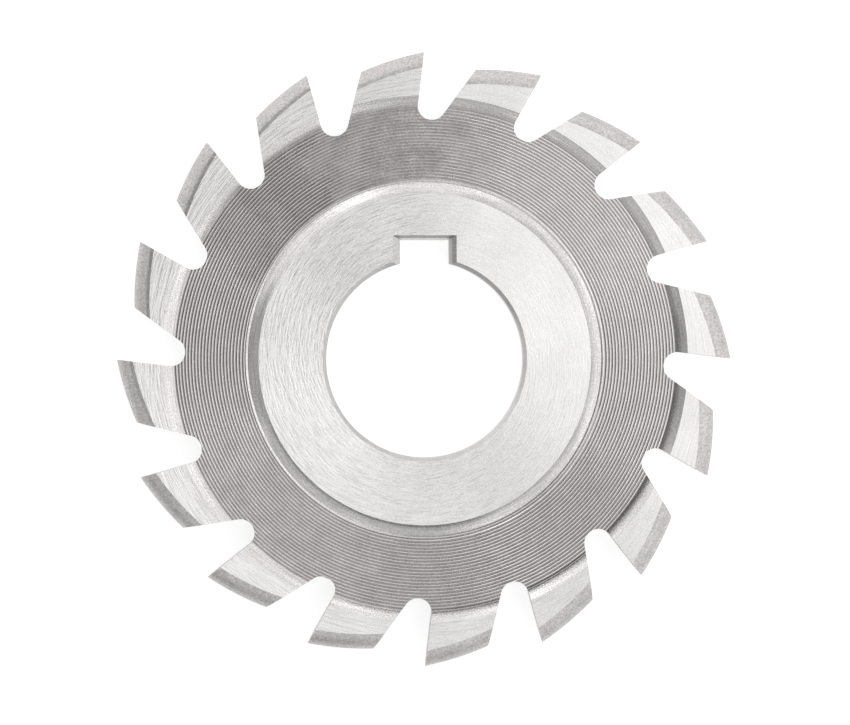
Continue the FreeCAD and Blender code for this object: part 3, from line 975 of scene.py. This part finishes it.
def studio_floor(look):
    """A wide floor that shows white to the camera and keeps a soft shadow."""
    mesh = bpy.data.meshes.new("studio_floor")
    corners = [(x * FLOOR_HALF, y * FLOOR_HALF, 0) for x, y in ((-1, -1), (1, -1), (1, 1), (-1, 1))]
    mesh.from_pydata(corners, [], [(0, 1, 2, 3)])
    floor = bpy.data.objects.new("studio_floor", mesh)
    floor.location.z = -FLOOR_DROP
    material = bpy.data.materials.new("studio_floor")
    material.use_nodes = True
    nodes = Nodes(material.node_tree)
    path = nodes.add("ShaderNodeLightPath").outputs
    seen = nodes.math("MAXIMUM", path["Is Camera Ray"], path["Is Transmission Ray"])
    strength = nodes.math("MAXIMUM", nodes.math("MULTIPLY", seen, FLOOR_GLOW_SEEN),
                          nodes.math("MULTIPLY", path["Is Glossy Ray"], FLOOR_GLOW_REFLECTED))
    glow = nodes.add("ShaderNodeEmission", {"Color": (*look.floor_colour, 1.0),
                                            "Strength": strength})
    matte = nodes.add("ShaderNodeBsdfDiffuse", {
        "Color": (FLOOR_GREY, FLOOR_GREY, FLOOR_GREY, 1.0)})
    both = nodes.add("ShaderNodeAddShader", {0: matte.outputs[0], 1: glow.outputs[0]})
    nodes.add("ShaderNodeOutputMaterial", {"Surface": both.outputs[0]})
    mesh.materials.append(material)
    return floor


# Softboxes round the cutter: degrees down from overhead, degrees round from the right, and
# the level, which is white at 1
SOFTBOXES = (
    (0, 0, 0.7), (25, 0, 0.86), (25, 45, 0.72), (25, 90, 0.06), (25, 135, 0.05), (25, 180, 0.06),
    (25, 225, 0.39), (25, 270, 0.34), (25, 315, 0.26),
    (50, 0, 0.87), (50, 45, 0.8), (50, 92, 0.86), (50, 132, 0.81), (50, 180, 0.31),
    (50, 225, 0.49), (50, 270, 0.48), (50, 315, 0.7),
    (75, 0, 0.52), (75, 45, 0.47), (75, 90, 0.66), (75, 135, 0.72), (75, 180, 0.36),
    (75, 315, 0.38),
)
SOFTBOX_DISTANCE = 0.7
SOFTBOX_HALF_HEIGHT = radians(12.5)
SOFTBOX_HALF_TURN = radians(22.5)
# They are as wide as on a ring this many degrees further down, which closes the gaps
SOFTBOX_WIDEN = 6
# The energy of each square metre at which a softbox is white
WHITE_ENERGY = 4


def softbox(scene, down, turn, level):
    """A soft lamp aimed at the cutter, unseen by the camera itself."""
    lamp = bpy.data.lights.new("softbox", "AREA")
    height = 2 * SOFTBOX_DISTANCE * tan(SOFTBOX_HALF_HEIGHT)
    if down:
        half_width = SOFTBOX_HALF_TURN * sin(radians(down + SOFTBOX_WIDEN))
        lamp.shape = "RECTANGLE"
        lamp.size = 2 * SOFTBOX_DISTANCE * tan(half_width)
        lamp.size_y = height
        area = lamp.size * lamp.size_y
    else:
        lamp.shape = "DISK"
        lamp.size = height
        area = pi * (height / 2) ** 2
    lamp.energy = WHITE_ENERGY * area * level
    box = bpy.data.objects.new("softbox", lamp)
    box.matrix_world = (Matrix.Rotation(radians(turn), 4, "Z")
                        @ Matrix.Rotation(radians(down), 4, "Y")
                        @ Matrix.Translation((0.0, 0.0, SOFTBOX_DISTANCE))
                        @ Matrix.Rotation(radians(90), 4, "Z"))
    box.visible_camera = False
    scene.collection.objects.link(box)


def studio_world(scene, look):
    """White to the camera, and an even low light on the steel."""
    world = bpy.data.worlds.new("studio")
    world.use_nodes = True
    nodes = Nodes(world.node_tree)
    path = nodes.add("ShaderNodeLightPath").outputs
    seen = nodes.math("MAXIMUM", path["Is Camera Ray"], path["Is Transmission Ray"])
    level = nodes.mix_value(seen, look.surround, 1.0)
    background = nodes.add("ShaderNodeBackground", {"Color": (1.0, 1.0, 1.0, 1.0),
                                                    "Strength": level})
    nodes.add("ShaderNodeOutputWorld", {"Surface": background.outputs[0]})
    scene.world = world


# The picture's width in pixels, and the size of one of them at the cutter
PICTURE_WIDTH = 850
PIXEL = 0.000081393
# Where the camera looks, in pixels right and up from the bore's axis
AIM = Vector((0.6, -3.43))
CAMERA_HEIGHT = 0.4
CAMERA_LEFT = 0.0135
CAMERA_ROLL = radians(-0.105)


def photo_camera(scene):
    """The camera stands straight above the face, a little to the left."""
    lens = bpy.data.cameras.new("camera")
    lens.sensor_fit = "HORIZONTAL"
    lens.lens = lens.sensor_width * CAMERA_HEIGHT / (PICTURE_WIDTH * PIXEL)
    lens.clip_start, lens.clip_end = 0.01, 20.0
    camera = bpy.data.objects.new("camera", lens)
    middle = (CAD_LOW.z + CAD_HIGH.z) / 2
    aim = (AIM * PIXEL).to_3d() + Vector((0.0, 0.0, middle))
    camera.location = aim + Vector((-CAMERA_LEFT, 0.0, CAMERA_HEIGHT))
    back = (camera.location - aim).normalized()
    right = Vector((0.0, 1.0, 0.0)).cross(back).normalized()
    square = Matrix((right, back.cross(right), back)).transposed()
    roll = Matrix.Rotation(CAMERA_ROLL, 3, "Z")
    camera.rotation_euler = (square @ roll).to_euler()
    scene.collection.objects.link(camera)
    scene.camera = camera


class CUTTER_OT_make_stage(bpy.types.Operator):
    """Make the floor, the soft light and the camera"""
    bl_idname = "cutter.make_stage"
    bl_label = "Studio stage"

    def execute(self, context):
        scene = context.scene
        look = scene.studio_look
        floor = studio_floor(look)
        scene.collection.objects.link(floor)
        studio_world(scene, look)
        for down, turn, level in SOFTBOXES:
            softbox(scene, down, turn, level * look.softboxes)
        photo_camera(scene)
        scene.view_settings.view_transform = "Standard"
        return {"FINISHED"}


class CUTTER_PT_panel(bpy.types.Panel):
    """The cutter's operators, sizes and colours"""
    bl_idname = "CUTTER_PT_panel"
    bl_label = "Convex radius cutter"
    bl_space_type = "VIEW_3D"
    bl_region_type = "UI"
    bl_category = "Cutter"

    def draw(self, context):
        layout = self.layout
        layout.operator(CUTTER_OT_make_cutter.bl_idname)
        layout.operator(CUTTER_OT_make_stage.bl_idname)
        for title, group in (("Sizes", context.scene.cutter_sizes),
                             ("Colours", context.scene.cutter_colours),
                             ("Studio", context.scene.studio_look)):
            layout.label(text=title)
            for name in group.__annotations__:
                layout.prop(group, name)


CLASSES = (CutterSizes, SteelColours, StudioLook, CUTTER_OT_make_cutter, CUTTER_OT_make_stage,
           CUTTER_PT_panel)


def register():
    for item in CLASSES:
        bpy.utils.register_class(item)
    bpy.types.Scene.cutter_sizes = bpy.props.PointerProperty(type=CutterSizes)
    bpy.types.Scene.cutter_colours = bpy.props.PointerProperty(type=SteelColours)
    bpy.types.Scene.studio_look = bpy.props.PointerProperty(type=StudioLook)


def unregister():
    del bpy.types.Scene.studio_look
    del bpy.types.Scene.cutter_colours
    del bpy.types.Scene.cutter_sizes
    for item in reversed(CLASSES):
        bpy.utils.unregister_class(item)


def main():
    register()
    bpy.ops.cutter.make_cutter()
    bpy.ops.cutter.make_stage()


if __name__ == "__main__":
    main()
